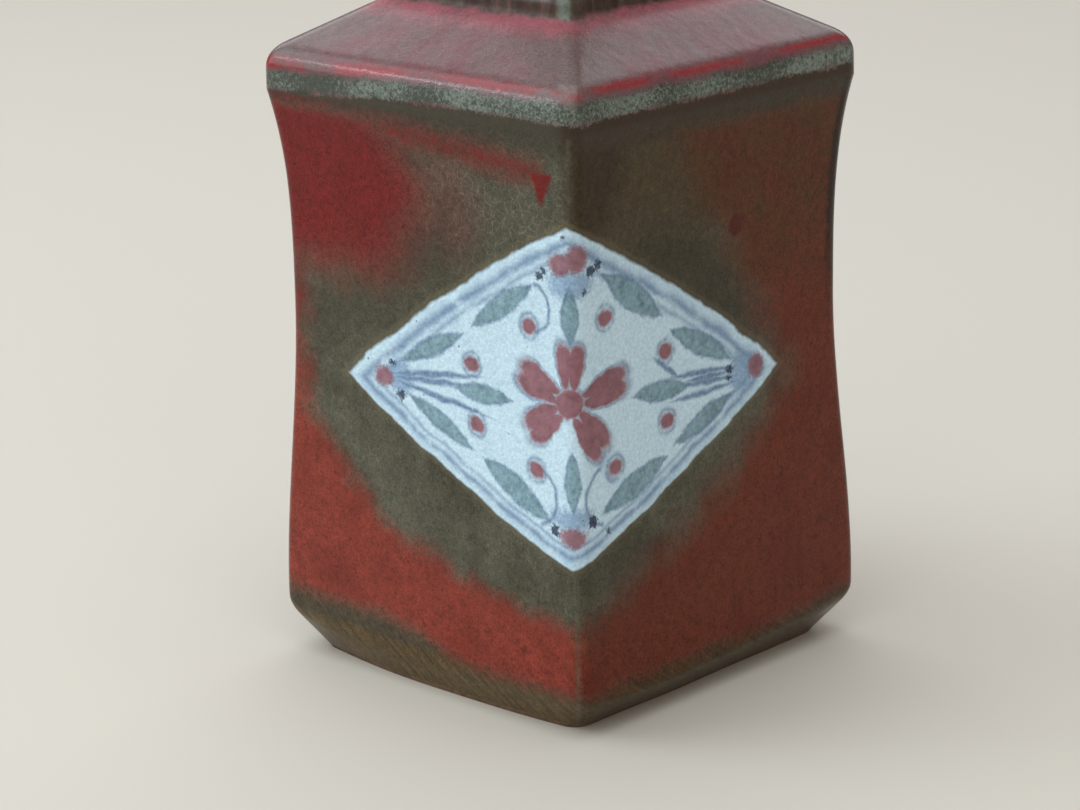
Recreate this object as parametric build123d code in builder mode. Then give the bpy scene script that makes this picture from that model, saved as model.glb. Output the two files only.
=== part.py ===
"""Square sake bottle with a waisted body, a sloping shoulder and a cork stopper.

Frame: millimetres, +Z up, origin at the centre of the foot, on the surface it stands on.
The four walls face -Y (front), +X (right), +Y (back) and -X (left).
"""
import os
from build123d import *

# ---- body: square in plan, waisted in elevation ----
body_half = 34.9            # half the side, at the rim and at the base
waist_half = 32.55          # half the side, where it is narrowest
waist_z = 62.0
corner_radius = 2.5         # rounding of the upright corners
wall_thickness = 4.6
wall_base_z = 10.0          # seam between the base slab and the walls
wall_top_z = 97.0           # seam between the walls and the shoulder slab
wall_levels = 9             # sections that carry a wall's curve

# ---- foot: pared away by hand, so that each side differs ----
foot_ring_height = 2.4
foot_recess_side = 48.0     # square recess under the bottle
foot_recess_radius = 5.0
foot_cuts = [               # turn of the side, inset at the floor, height up the side
    (0, 3.3, 7.2),
    (90, 5.2, 5.4),
    (180, 4.2, 6.2),
    (270, 3.7, 6.8),
]

# ---- shoulder: a low four-sided roof over the walls ----
shoulder_edge_z = 103.2     # where the line of the wall and the slope cross
shoulder_edge_radius = 5.0
shoulder_roof_half = 14.0   # flat part of the inside, around the bore
shoulder_roof_z = 106.0
neck_base_half = 20.6
neck_base_z = 111.8

# ---- neck and mouth ----
neck_waist_half = 15.6
neck_waist_z = 128.0
neck_top_half = 18.4
neck_top_z = 145.0
neck_corner_radius = 3.0
neck_levels = 7
bore_diameter = 20.0
lip_half = 19.4
lip_top_z = 150.0
lip_edge_radius = 2.0
mouth_edge_radius = 1.5

# ---- stopper ----
seat_gap = 0.1              # between the knob and the lip
cork_length = 21.0
cork_top_diameter = 19.9
cork_bottom_diameter = 18.4
cork_edge = 0.8
knob_diameter = 28.0
knob_groove_diameter = 21.0
knob_flange_height = 2.6
knob_groove_height = 6.4
knob_height = 16.0
knob_dome_height = 4.4
knob_dome_sagitta = 1.2     # bulge of the dome over the line from its edge to its top
knob_edge_radius = 0.8
pin_diameter = 5.0
pin_depth_in_cork = 10.0
pin_depth_in_knob = 7.0

knob_z = lip_top_z + seat_gap
knob_groove_top_z = knob_z + knob_flange_height + knob_groove_height


def waisted(z, low, middle, high):
    """Half side at height z of a form that passes three (half, height) stations."""
    if z < middle[1]:
        t = (middle[1] - z) / (middle[1] - low[1])
        return middle[0] + (low[0] - middle[0]) * t * t * (3 - 2 * t)
    t = (z - middle[1]) / (high[1] - middle[1])
    return middle[0] + (high[0] - middle[0]) * t**3


def body_half_at(z):
    return waisted(z, (body_half, wall_base_z), (waist_half, waist_z), (body_half, wall_top_z))


def neck_half_at(z):
    low = (neck_base_half, neck_base_z)
    return waisted(z, low, (neck_waist_half, neck_waist_z), (neck_top_half, neck_top_z))


def levels(bottom, top, count):
    """Evenly spaced heights, both ends included."""
    return [bottom + (top - bottom) * i / (count - 1) for i in range(count)]


def outward(turn):
    """Direction that a side of the bottle faces, the front one turned about Z."""
    return Vector(0, -1, 0).rotate(Axis.Z, turn)


os.makedirs("parts", exist_ok=True)
pieces = []


def finish(piece, name):
    """Name a finished piece and keep it for export."""
    piece.part.label = name
    pieces.append(piece.part)


# ---------------------------------------------------------------- walls
# A hollow square tube, cut along its diagonals: each wall slab is mitred
# to its neighbours at the upright corners.
with BuildPart() as wall_tube:
    for z in levels(wall_base_z, wall_top_z, wall_levels):
        with BuildSketch(Plane.XY.offset(z)):
            RectangleRounded(2 * body_half_at(z), 2 * body_half_at(z), corner_radius)
    loft()
    for z in levels(wall_base_z, wall_top_z, wall_levels):
        inner_side = 2 * (body_half_at(z) - wall_thickness)
        with BuildSketch(Plane.XY.offset(z)):
            RectangleRounded(inner_side, inner_side, corner_radius)
    loft(mode=Mode.SUBTRACT)

for turn, name in [(0, "front_wall"), (90, "right_wall"), (180, "back_wall"), (270, "left_wall")]:
    face_normal = outward(turn)
    along = outward(turn + 90)
    with BuildPart() as wall:
        add(wall_tube.part)
        split(bisect_by=Plane((0, 0, 0), z_dir=face_normal + along), keep=Keep.TOP)
        split(bisect_by=Plane((0, 0, 0), z_dir=face_normal - along), keep=Keep.TOP)
    finish(wall, name)

# ---------------------------------------------------------------- base slab and foot ring
with BuildPart() as foot_blank:
    with BuildSketch(Plane.XY):
        RectangleRounded(2 * body_half, 2 * body_half, corner_radius)
    extrude(amount=wall_base_z)
    for turn, inset, height in foot_cuts:
        at_floor = outward(turn) * (body_half - inset)
        inward_and_up = outward(turn) * -height + Vector(0, 0, inset)
        split(bisect_by=Plane(at_floor, z_dir=inward_and_up), keep=Keep.TOP)

with BuildPart() as base_slab:
    add(foot_blank.part)
    split(bisect_by=Plane.XY.offset(foot_ring_height), keep=Keep.TOP)
finish(base_slab, "base_slab")

with BuildPart() as foot_ring:
    add(foot_blank.part)
    split(bisect_by=Plane.XY.offset(foot_ring_height), keep=Keep.BOTTOM)
    with BuildSketch(Plane.XY):
        RectangleRounded(foot_recess_side, foot_recess_side, foot_recess_radius)
    extrude(amount=foot_ring_height, mode=Mode.SUBTRACT)
finish(foot_ring, "foot_ring")

# ---------------------------------------------------------------- shoulder
with BuildPart() as shoulder:
    with BuildSketch(Plane.XY.offset(wall_top_z)):
        RectangleRounded(2 * body_half, 2 * body_half, corner_radius)
    extrude(amount=shoulder_edge_z - wall_top_z)
    with BuildSketch(Plane.XY.offset(shoulder_edge_z)):
        RectangleRounded(2 * body_half, 2 * body_half, corner_radius)
    with BuildSketch(Plane.XY.offset(neck_base_z)):
        RectangleRounded(2 * neck_base_half, 2 * neck_base_half, neck_corner_radius)
    loft()
    rim_edges = [e for e in shoulder.edges() if abs(e.center().Z - shoulder_edge_z) < 0.01]
    fillet(rim_edges, radius=shoulder_edge_radius)
    with BuildSketch(Plane.XY.offset(wall_top_z)):
        inner_side = 2 * (body_half - wall_thickness)
        RectangleRounded(inner_side, inner_side, corner_radius)
    with BuildSketch(Plane.XY.offset(shoulder_roof_z)):
        RectangleRounded(2 * shoulder_roof_half, 2 * shoulder_roof_half, corner_radius)
    loft(mode=Mode.SUBTRACT)
    with BuildSketch(Plane.XY.offset(shoulder_roof_z)):
        Circle(bore_diameter / 2)
    extrude(amount=neck_base_z - shoulder_roof_z, mode=Mode.SUBTRACT)
finish(shoulder, "shoulder")

# ---------------------------------------------------------------- neck
with BuildPart() as neck:
    for z in levels(neck_base_z, neck_top_z, neck_levels):
        with BuildSketch(Plane.XY.offset(z)):
            RectangleRounded(2 * neck_half_at(z), 2 * neck_half_at(z), neck_corner_radius)
    loft()
    with BuildSketch(Plane.XY.offset(neck_base_z)):
        Circle(bore_diameter / 2)
    extrude(amount=neck_top_z - neck_base_z, mode=Mode.SUBTRACT)
finish(neck, "neck")

# ---------------------------------------------------------------- mouth rim
with BuildPart() as mouth_rim:
    with BuildSketch(Plane.XY.offset(neck_top_z)):
        RectangleRounded(2 * neck_top_half, 2 * neck_top_half, neck_corner_radius)
    with BuildSketch(Plane.XY.offset(lip_top_z)):
        RectangleRounded(2 * lip_half, 2 * lip_half, neck_corner_radius)
    loft()
    fillet(mouth_rim.faces().sort_by(Axis.Z)[-1].edges(), radius=lip_edge_radius)
    with BuildSketch(Plane.XY.offset(neck_top_z)):
        Circle(bore_diameter / 2)
    extrude(amount=lip_top_z - neck_top_z, mode=Mode.SUBTRACT)
    fillet(mouth_rim.faces().sort_by(Axis.Z)[-1].inner_wires().edges(), radius=mouth_edge_radius)
finish(mouth_rim, "mouth_rim")

# ---------------------------------------------------------------- stopper
with BuildPart() as stopper_cork:
    with BuildSketch(Plane.XZ):
        with BuildLine():
            bottom_z = knob_z - cork_length
            Polyline(
                (0, bottom_z),
                (cork_bottom_diameter / 2 - cork_edge, bottom_z),
                (cork_bottom_diameter / 2, bottom_z + cork_edge),
                (cork_top_diameter / 2, knob_z),
                (0, knob_z),
                close=True,
            )
        make_face()
    revolve(axis=Axis.Z)
    with BuildSketch(Plane.XY.offset(knob_z)):
        Circle(pin_diameter / 2)
    extrude(amount=-pin_depth_in_cork, mode=Mode.SUBTRACT)
finish(stopper_cork, "stopper_cork")

with BuildPart() as stopper_knob:
    with BuildSketch(Plane.XZ):
        with BuildLine():
            knob_radius = knob_diameter / 2
            groove_base = (knob_radius, knob_z + knob_flange_height)
            groove_middle = (knob_groove_diameter / 2, (groove_base[1] + knob_groove_top_z) / 2)
            groove_top = (knob_radius, knob_groove_top_z)
            shoulder_point = (knob_radius, knob_z + knob_height - knob_dome_height)
            Polyline((0, knob_z + knob_height), (0, knob_z), (knob_radius, knob_z), groove_base)
            ThreePointArc(groove_base, groove_middle, groove_top)
            Line(groove_top, shoulder_point)
            SagittaArc(shoulder_point, (0, knob_z + knob_height), -knob_dome_sagitta)
        make_face()
    revolve(axis=Axis.Z)
    fillet(stopper_knob.edges().filter_by(GeomType.CIRCLE), radius=knob_edge_radius)
    with BuildSketch(Plane.XY.offset(knob_z)):
        Circle(pin_diameter / 2)
    extrude(amount=pin_depth_in_knob, mode=Mode.SUBTRACT)
finish(stopper_knob, "stopper_knob")

with BuildPart() as stopper_pin:
    with BuildSketch(Plane.XY.offset(knob_z - pin_depth_in_cork)):
        Circle(pin_diameter / 2)
    extrude(amount=pin_depth_in_cork + pin_depth_in_knob)
finish(stopper_pin, "stopper_pin")

for piece in pieces:
    export_step(piece, f"parts/{piece.label}.step")
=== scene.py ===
import math

import bpy
import numpy as np
from mathutils import Matrix, Vector


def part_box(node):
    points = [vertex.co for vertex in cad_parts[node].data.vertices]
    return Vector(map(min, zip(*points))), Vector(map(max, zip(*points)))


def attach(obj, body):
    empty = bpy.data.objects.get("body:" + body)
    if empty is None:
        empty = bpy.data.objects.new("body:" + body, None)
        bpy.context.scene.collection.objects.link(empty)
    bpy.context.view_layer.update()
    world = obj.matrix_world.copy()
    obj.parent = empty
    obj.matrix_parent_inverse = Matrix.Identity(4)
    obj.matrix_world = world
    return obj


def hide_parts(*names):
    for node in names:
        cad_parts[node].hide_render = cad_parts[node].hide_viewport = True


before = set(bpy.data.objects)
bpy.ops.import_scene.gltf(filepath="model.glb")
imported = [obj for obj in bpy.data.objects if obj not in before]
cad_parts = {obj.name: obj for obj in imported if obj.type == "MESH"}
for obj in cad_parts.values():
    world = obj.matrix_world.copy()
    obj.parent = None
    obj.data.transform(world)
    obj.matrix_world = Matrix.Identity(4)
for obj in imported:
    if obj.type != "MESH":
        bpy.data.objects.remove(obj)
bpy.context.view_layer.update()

MM = 0.001


def box_mm(node):
    """Lowest and highest corner of a CAD node, in millimetres."""
    low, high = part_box(node)
    return low / MM, high / MM


# ---------------------------------------------------------------- sizes, from the frame
WALL_BASE = box_mm("front_wall")[0].z
WALL_TOP = box_mm("front_wall")[1].z
BODY_HALF = box_mm("base_slab")[1].x
RING_TOP = box_mm("foot_ring")[1].z
NECK_HALF = box_mm("neck")[1].x
NECK_BASE = box_mm("neck")[0].z
NECK_TOP = box_mm("neck")[1].z
LIP_HALF = box_mm("mouth_rim")[1].x
LIP_TOP = box_mm("mouth_rim")[1].z
KNOB_BASE, KNOB_TOP = box_mm("stopper_knob")[0].z, box_mm("stopper_knob")[1].z
KNOB_RADIUS = box_mm("stopper_knob")[1].x
CORK_BASE = box_mm("stopper_cork")[0].z
CORK_RADIUS = box_mm("stopper_cork")[1].x
PIN_BASE, PIN_TOP = box_mm("stopper_pin")[0].z, box_mm("stopper_pin")[1].z
PIN_RADIUS = box_mm("stopper_pin")[1].x

# the same design sizes as the CAD model, where a box can't give them
WAIST_HALF, WAIST_Z = 32.55, 62.0
CORNER_RADIUS = 2.5
WALL_THICKNESS = 4.6
EDGE_Z, EDGE_RADIUS = 103.2, 5.0
ROOF_HALF, ROOF_Z = 14.0, 106.0
NECK_WAIST_HALF, NECK_WAIST_Z = 15.6, 128.0
NECK_TOP_HALF, NECK_RADIUS = 18.4, 3.0
BORE = 10.0
RECESS_HALF, RECESS_RADIUS = 24.0, 5.0
GROOVE_MIDDLE, GROOVE_CENTRE, GROOVE_RADIUS = 5.8, 13.7, 3.2
DOME_HEIGHT = 4.4

# sizes that only the looks have
GLAZE_SKIN = 0.12           # how far the surface stays inside the CAD model's widest sides
FOOT_RADIUS = 3.3           # upright corners at the floor
PARING_BLEND = 1.1          # how softly the pared foot meets the walls
PIN_PLAY = 0.04             # between the dowel and its hole
RECESS_BEVEL, RECESS_FLARE = 0.35, 1.012    # the recess's edge at the floor: height, widening

# ---------------------------------------------------------------- the bottle's outer form
SIDES = {"front_wall": -90.0, "right_wall": 0.0, "back_wall": 90.0, "left_wall": 180.0}
# paring of the foot, by side: (inset at mid side, more towards the corners,
# height at mid side, more towards the corners, tilt of the cut along the side)
FOOT_CUTS = {
    "front_wall": (2.8, 2.0, 6.4, 2.3, 0.5),
    "right_wall": (5.1, 0.2, 5.2, 1.6, 0.9),
    "back_wall": (4.0, 0.9, 6.0, 1.8, -0.6),
    "left_wall": (3.5, 1.3, 6.6, 1.6, 0.4),
}


def angles():
    """Directions around the bottle, in degrees, finer at the corners."""
    flat = np.linspace(0, 36, 13)
    corner = np.linspace(36, 45, 16)[1:]
    eighth = np.concatenate([flat, corner])
    side = np.concatenate([-eighth[:0:-1], eighth])
    return np.concatenate([side[:-1] + turn for turn in (0, 90, 180, 270)])


ANGLES = angles()
PER_SIDE = len(ANGLES) // 4


def outline(half, radius):
    """A ring of points around a rounded square, one at each of ANGLES."""
    a = np.radians(np.abs((ANGLES + 45) % 90 - 45))
    centre = half - radius
    reach = half / np.cos(a)
    along = centre * (np.cos(a) + np.sin(a))
    root = np.maximum(along**2 - 2 * centre**2 + radius**2, 0)
    rounded = half * np.tan(a) > centre
    reach = np.where(rounded, along + np.sqrt(root), reach)
    direction = np.radians(ANGLES)
    return np.stack([reach * np.cos(direction), reach * np.sin(direction)], axis=1)


def smooth_min(a, b, width):
    """The smaller of two values, with the change-over rounded over width."""
    h = np.clip(0.5 + 0.5 * (b - a) / width, 0, 1)
    return b + (a - b) * h - width * h * (1 - h)


def waves(x, y, z, scale, seed):
    """A smooth, repeatable unevenness between about -1 and 1."""
    total = 0
    for k in range(4):
        wx, wy, wz = (math.sin(seed + 1.7 * k + j * 2.1) for j in range(3))
        total = total + np.sin((x * wx + y * wy + z * wz) * 2.6 / scale + seed * k)
    return total / 4


def pared_half(x, y, z):
    """Half side at each point of a ring after the foot was pared: (along x, along y)."""
    halves = []
    pairs = (("right_wall", "left_wall", x, y), ("back_wall", "front_wall", y, x))
    for plus, minus, across, along in pairs:
        cut = np.zeros_like(x)
        for name, here in ((plus, across >= 0), (minus, across < 0)):
            inset, inset_more, height, height_more, tilt = FOOT_CUTS[name]
            t = np.clip(along / BODY_HALF, -1, 1)
            height = height + height_more * t**4 + tilt * t + 0.35 * waves(along, 0, 0, 9, inset)
            inset = inset + inset_more * t**2 + 0.2 * waves(along, 0, 0, 14, height_more)
            cut = np.where(here, BODY_HALF - inset * (1 - z / height), cut)
        halves.append(cut)
    return halves


def by_hand(points, half):
    """Turn exact rings into hand-made ones: the foot pared by side, the faces faintly uneven."""
    x, y, z = points[..., 0], points[..., 1], points[..., 2]
    cut_x, cut_y = pared_half(x, y, z)
    scale_x = smooth_min(half, cut_x, PARING_BLEND) / half
    scale_y = smooth_min(half, cut_y, PARING_BLEND) / half
    uneven = 1 - (GLAZE_SKIN - 0.11 * waves(x, y, z, 22, 3.0) - 0.04 * waves(x, y, z, 7, 8.0)) / half
    return np.stack([x * scale_x * uneven, y * scale_y * uneven, z], axis=-1)


def waisted(z, low, middle, high):
    """Half side at height z of a form that passes three (half, height) stations."""
    if z < middle[1]:
        t = (middle[1] - z) / (middle[1] - low[1])
        return middle[0] + (low[0] - middle[0]) * t * t * (3 - 2 * t)
    t = (z - middle[1]) / (high[1] - middle[1])
    return middle[0] + (high[0] - middle[0]) * t**3


def body_half_at(z):
    """Half side of the walls at height z: full at both ends, drawn in at the waist."""
    if z < WALL_BASE or z > WALL_TOP:
        return BODY_HALF
    return waisted(z, (BODY_HALF, WALL_BASE), (WAIST_HALF, WAIST_Z), (BODY_HALF, WALL_TOP))


def neck_half_at(z):
    """Half side of the neck at height z, narrowest at its own waist."""
    low = (NECK_HALF, NECK_BASE)
    return waisted(z, low, (NECK_WAIST_HALF, NECK_WAIST_Z), (NECK_TOP_HALF, NECK_TOP))


def rounded_path(corners, step=0.5):
    """Points along a path of (half, z, corner radius of the path); ends have radius 0."""
    path = [np.array(corners[0][:2], float)]
    for before, here, after in zip(corners, corners[1:], corners[2:]):
        p, q, r = (np.array(c[:2], float) for c in (before, here, after))
        into, out = (q - p) / np.linalg.norm(q - p), (r - q) / np.linalg.norm(r - q)
        turn = math.acos(max(-1, min(1, float(into @ out))))
        reach = here[2] * math.tan(turn / 2)
        count = max(2, round(here[2] * turn / step))
        start, end = q - into * reach, q + out * reach
        for i in range(count + 1):
            t = i / count
            # a quadratic through the corner is close enough to the arc at these turns
            path.append(start * (1 - t) ** 2 + 2 * q * t * (1 - t) + end * t**2)
    path.append(np.array(corners[-1][:2], float))
    return path


def spread(points, step):
    """The same path with extra points, so that none are further apart than step."""
    out = [points[0]]
    for p, q in zip(points, points[1:]):
        count = max(1, math.ceil(float(np.linalg.norm(q - p)) / step))
        out += [p + (q - p) * i / count for i in range(1, count + 1)]
    return out


def mixed(a, b, t):
    """a where t is 0 or less, b where it is 1 or more."""
    t = max(0.0, min(1.0, t))
    return a + (b - a) * t


def outer_stations():
    """The outside from the foot to the inner edge of the mouth: {piece: [(half, z, radius)]}."""
    foot = [(BODY_HALF, z, FOOT_RADIUS) for z in np.linspace(0, RING_TOP, 7)]
    base = [(BODY_HALF, z, mixed(FOOT_RADIUS, CORNER_RADIUS, (z - RING_TOP) / 6))
            for z in np.linspace(RING_TOP, WALL_BASE, 17)]
    wall = [(body_half_at(z), z, CORNER_RADIUS) for z in np.linspace(WALL_BASE, WALL_TOP, 57)]
    slope_path = rounded_path([
        (BODY_HALF, WALL_TOP, 0),
        (BODY_HALF, EDGE_Z, EDGE_RADIUS),
        (NECK_HALF, NECK_BASE, 1.8),
        (NECK_HALF, NECK_BASE + 2.4, 0),
    ])
    slope = [(h, z, mixed(CORNER_RADIUS, NECK_RADIUS, (z - WALL_TOP) / 12))
             for h, z in spread(slope_path, 1.0)]
    shoulder = [s for s in slope if s[1] <= NECK_BASE]
    neck = [s for s in slope if s[1] > NECK_BASE]
    neck += [(neck_half_at(z), z, NECK_RADIUS) for z in np.linspace(NECK_BASE + 3.2, NECK_TOP, 33)]
    neck.insert(0, shoulder[-1])
    lip_path = rounded_path([
        (NECK_TOP_HALF, NECK_TOP, 0),
        (LIP_HALF, NECK_TOP + 2.2, 1.6),
        (LIP_HALF - 0.1, LIP_TOP, 1.9),
        (BORE, LIP_TOP, 1.5),
        (BORE, NECK_TOP, 0),
    ], step=0.35)
    lip = []
    for h, z in spread(lip_path, 0.9):
        # the rings turn from the neck's rounded square outside to the bore's circle inside
        down_the_bore = z < LIP_TOP - 0.01 and h < LIP_HALF - 5
        roundness = 1 if down_the_bore else max(0, (LIP_HALF - h) / (LIP_HALF - BORE))
        lip.append((h, z, mixed(NECK_RADIUS, h, roundness**0.8)))
    return {"foot_ring": foot, "base_slab": base, "walls": wall,
            "shoulder": shoulder, "neck": neck, "mouth_rim": lip}


def rings(stations, hand_made=True):
    """A grid of points, one ring for each station (half, z, corner radius)."""
    grid = []
    for half, z, radius in stations:
        ring = outline(half, min(radius, half))
        ring = np.concatenate([ring, np.full((len(ring), 1), z)], axis=1)
        grid.append(by_hand(ring, half) if hand_made else ring)
    return np.array(grid)


def grid_normals(grid):
    """Normals of a closed-around grid of rings, outward when the rings run upward outside."""
    around = np.roll(grid, -1, axis=1) - np.roll(grid, 1, axis=1)
    up = np.gradient(grid, axis=0)
    normal = np.cross(around, up)
    length = np.linalg.norm(normal, axis=2, keepdims=True)
    return normal / np.maximum(length, 1e-9)


class Solid:
    """A closed mesh put together from patches that share their borders."""

    def __init__(self):
        self.points, self.index = [], {}
        self.faces, self.normals = [], []

    def vertex(self, p):
        """The number of a point, the same for every patch that has it."""
        key = tuple(round(float(c), 5) for c in p)
        if key not in self.index:
            self.index[key] = len(self.points)
            self.points.append(key)
        return self.index[key]

    def face(self, corners, normals=None):
        """A face through points, skipping corners that coincide."""
        ids, kept = [], []
        for i, p in enumerate(corners):
            v = self.vertex(p)
            if v not in ids:
                ids.append(v)
                kept.append(i)
        if len(ids) < 3:
            return
        if normals is None:
            p = [np.array(self.points[v]) for v in ids]
            flat = np.cross(p[1] - p[0], p[-1] - p[0])
            flat = flat / max(np.linalg.norm(flat), 1e-12)
            normals = [flat] * len(corners)
        self.faces.append(ids)
        self.normals += [tuple(normals[i]) for i in kept]

    def patch(self, grid, normals=None, closed=False, flip=False):
        """Quads over a grid of points. closed joins the last column to the first."""
        rows, columns = grid.shape[:2]
        for i in range(rows - 1):
            for j in range(columns if closed else columns - 1):
                k = (j + 1) % columns
                order = [(i, j), (i, k), (i + 1, k), (i + 1, j)]
                if flip:
                    order.reverse()
                corner_normals = None if normals is None else [normals[c] for c in order]
                self.face([grid[c] for c in order], corner_normals)

    def band(self, ring, next_ring):
        """Quads from one ring to the next, with flat faces."""
        self.patch(np.stack([ring, next_ring]), closed=True)

    def cap(self, ring, up):
        """A fan that closes a ring, facing +Z if up."""
        centre = np.array([0, 0, ring[0][2]])
        normal = (0, 0, 1 if up else -1)
        for j in range(len(ring)):
            pair = [ring[j], ring[(j + 1) % len(ring)]]
            if not up:
                pair.reverse()
            self.face([centre] + pair, [normal] * 3)

    def build(self, name, material):
        """The object, in metres, smooth by its own normals."""
        mesh = bpy.data.meshes.new(name)
        mesh.from_pydata([Vector(p) * MM for p in self.points], [], self.faces)
        mesh.materials.append(material)
        mesh.polygons.foreach_set("use_smooth", [True] * len(self.faces))
        mesh.normals_split_custom_set(self.normals)
        mesh.validate()
        piece = bpy.data.objects.new(name, mesh)
        bpy.context.scene.collection.objects.link(piece)
        return piece


def make_bottle(materials):
    """The ceramic pieces. Their outsides are patches of one continuous surface."""
    stations = outer_stations()
    whole, spans = [], {}
    for name, part in stations.items():
        first = max(len(whole) - 1, 0)
        whole += part if not whole else part[1:]
        spans[name] = slice(first, len(whole))
    outside = rings(whole)
    shade = grid_normals(outside)
    pieces = {}

    def with_outside(name):
        """A solid that starts with a node's patch of the outer surface, and that patch's rings."""
        solid = Solid()
        solid.patch(outside[spans[name]], shade[spans[name]], closed=True)
        return solid, outside[spans[name]]

    # walls
    wall_rows = spans["walls"]
    inner = rings([(h - WALL_THICKNESS, z, CORNER_RADIUS) for h, z, _ in stations["walls"]], False)
    inner_shade = grid_normals(inner)
    for name, turn in SIDES.items():
        first = round(((turn + 360) % 360) / 90) * PER_SIDE
        columns = [(first + j) % len(ANGLES) for j in range(PER_SIDE + 1)]
        out, out_shade = outside[wall_rows][:, columns], shade[wall_rows][:, columns]
        ins, ins_shade = inner[:, columns], -inner_shade[:, columns]
        solid = Solid()
        solid.patch(out, out_shade)
        solid.patch(ins, ins_shade, flip=True)
        for j, flip in ((0, False), (-1, True)):
            solid.patch(np.stack([ins[:, j], out[:, j]], axis=1), flip=flip)
        for i, flip in ((0, True), (-1, False)):
            solid.patch(np.stack([out[i], ins[i]], axis=0), flip=flip)
        pieces[name] = solid.build(name + "_glazed", materials["wall"])

    # base slab: a solid block with a pared edge
    solid, out = with_outside("base_slab")
    solid.cap(out[0], up=False)
    solid.cap(out[-1], up=True)
    pieces["base_slab"] = solid.build("base_slab_glazed", materials["foot"])

    # foot ring, open in the middle
    recess = rings([(RECESS_HALF, z, RECESS_RADIUS) for z in (0, RECESS_BEVEL, RING_TOP)], False)
    recess[0] *= (RECESS_FLARE, RECESS_FLARE, 1)
    solid, out = with_outside("foot_ring")
    solid.patch(recess, closed=True, flip=True)
    solid.band(recess[0], out[0])
    solid.band(out[-1], recess[-1])
    pieces["foot_ring"] = solid.build("foot_ring_turned", materials["foot"])

    # shoulder, hollow under the slope
    inside_half = BODY_HALF - WALL_THICKNESS
    bore = rings([(BORE, NECK_BASE, BORE), (BORE, ROOF_Z, BORE)], False)
    roof = rings([(ROOF_HALF, ROOF_Z, CORNER_RADIUS), (inside_half, WALL_TOP, CORNER_RADIUS)], False)
    solid, out = with_outside("shoulder")
    around = [out[-1], *bore, *roof, out[0]]
    for ring, next_ring in zip(around, around[1:]):
        solid.band(ring, next_ring)
    pieces["shoulder"] = solid.build("shoulder_glazed", materials["shoulder"])

    # neck with its round bore
    bore = rings([(BORE, z, BORE) for z in (NECK_TOP, NECK_BASE)], False)
    solid, out = with_outside("neck")
    solid.band(out[-1], bore[0])
    solid.patch(bore, grid_normals(bore), closed=True)
    solid.band(bore[-1], out[0])
    pieces["neck"] = solid.build("neck_glazed", materials["neck"])

    # mouth rim: its outer stations already turn over the lip and down the bore
    solid, out = with_outside("mouth_rim")
    solid.band(out[-1], out[0])
    pieces["mouth_rim"] = solid.build("mouth_rim_glazed", materials["neck"])

    for name, piece in pieces.items():
        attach(piece, "bottle")
        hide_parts(name)


# ---------------------------------------------------------------- the stopper
def arc(centre, radius, start, end, count):
    """Corners along an arc, for a path; angles in degrees, ends left out."""
    turns = np.radians(np.linspace(start, end, count + 2)[1:-1])
    return [(centre[0] + radius * math.cos(a), centre[1] + radius * math.sin(a), 0) for a in turns]


def turned(name, corners, material, unevenness=0.0):
    """A closed piece turned about Z, from corners that start and end on the axis."""
    path = spread(rounded_path(corners, step=0.12), 0.8)
    path = [path[0]] + [q for p, q in zip(path, path[1:]) if np.linalg.norm(q - p) > 1e-6]
    around = np.radians(np.arange(0, 360, 3.75))
    grid = np.array([[(r * math.cos(a), r * math.sin(a), z) for a in around] for r, z in path])
    if unevenness:
        dents = 1 - unevenness * (1 + waves(*np.moveaxis(grid, 2, 0), 3.0, 5.0)) / 2
        grid[..., :2] *= dents[..., None]
    shade = grid_normals(grid)
    shade[0], shade[-1] = (0, 0, -1), (0, 0, 1)
    solid = Solid()
    solid.patch(grid, shade, closed=True)
    piece = solid.build(name, material)
    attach(piece, "stopper")
    return piece


def make_stopper(materials):
    """A tapered cork, a turned knob with a grooved waist, and the dowel that joins them."""
    top, hole = KNOB_BASE, PIN_RADIUS
    cork = turned("cork_plug", [
        (0, CORK_BASE, 0), (CORK_RADIUS - 0.75, CORK_BASE, 1.2), (CORK_RADIUS, top, 0.3),
        (hole, top, 0.1), (hole, PIN_BASE, 0.1), (0, PIN_BASE, 0),
    ], materials["cork"], unevenness=0.012)

    wide, belt = KNOB_RADIUS, KNOB_BASE + GROOVE_MIDDLE
    half_groove = math.sqrt(GROOVE_RADIUS**2 - (GROOVE_CENTRE - wide) ** 2)
    opening = math.degrees(math.asin(half_groove / GROOVE_RADIUS))
    low_lip, high_lip = belt - half_groove, belt + half_groove
    dome_base = KNOB_TOP - DOME_HEIGHT
    dome_radius = (wide**2 + DOME_HEIGHT**2) / (2 * DOME_HEIGHT)
    dome_edge = math.degrees(math.acos(wide / dome_radius))
    line_z = (high_lip + dome_base) / 2
    knob = turned("turned_knob", [
        (0, PIN_TOP, 0), (hole, PIN_TOP, 0.1), (hole, top, 0.2), (wide, top, 0.8), (wide, low_lip, 0.35),
        *arc((GROOVE_CENTRE, belt), GROOVE_RADIUS, -opening, opening - 360, 13),
        (wide, high_lip, 0.35), (wide, line_z - 0.4, 0.1), (wide - 0.35, line_z, 0.1),
        (wide, line_z + 0.4, 0.1), (wide, dome_base, 0.8),
        *arc((0, KNOB_TOP - dome_radius), dome_radius, dome_edge, 90, 9), (0, KNOB_TOP, 0),
    ], materials["knob"])

    pin = turned("dowel_pin", [
        (0, PIN_BASE, 0), (hole - PIN_PLAY, PIN_BASE, 0.4), (hole - PIN_PLAY, PIN_TOP, 0.4),
        (0, PIN_TOP, 0),
    ], materials["pin"])
    for piece, node, slot in ((cork, "stopper_cork", "cork"), (knob, "stopper_knob", "stopper_wood"),
                              (pin, "stopper_pin", "pin_wood")):
        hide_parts(node)


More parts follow.
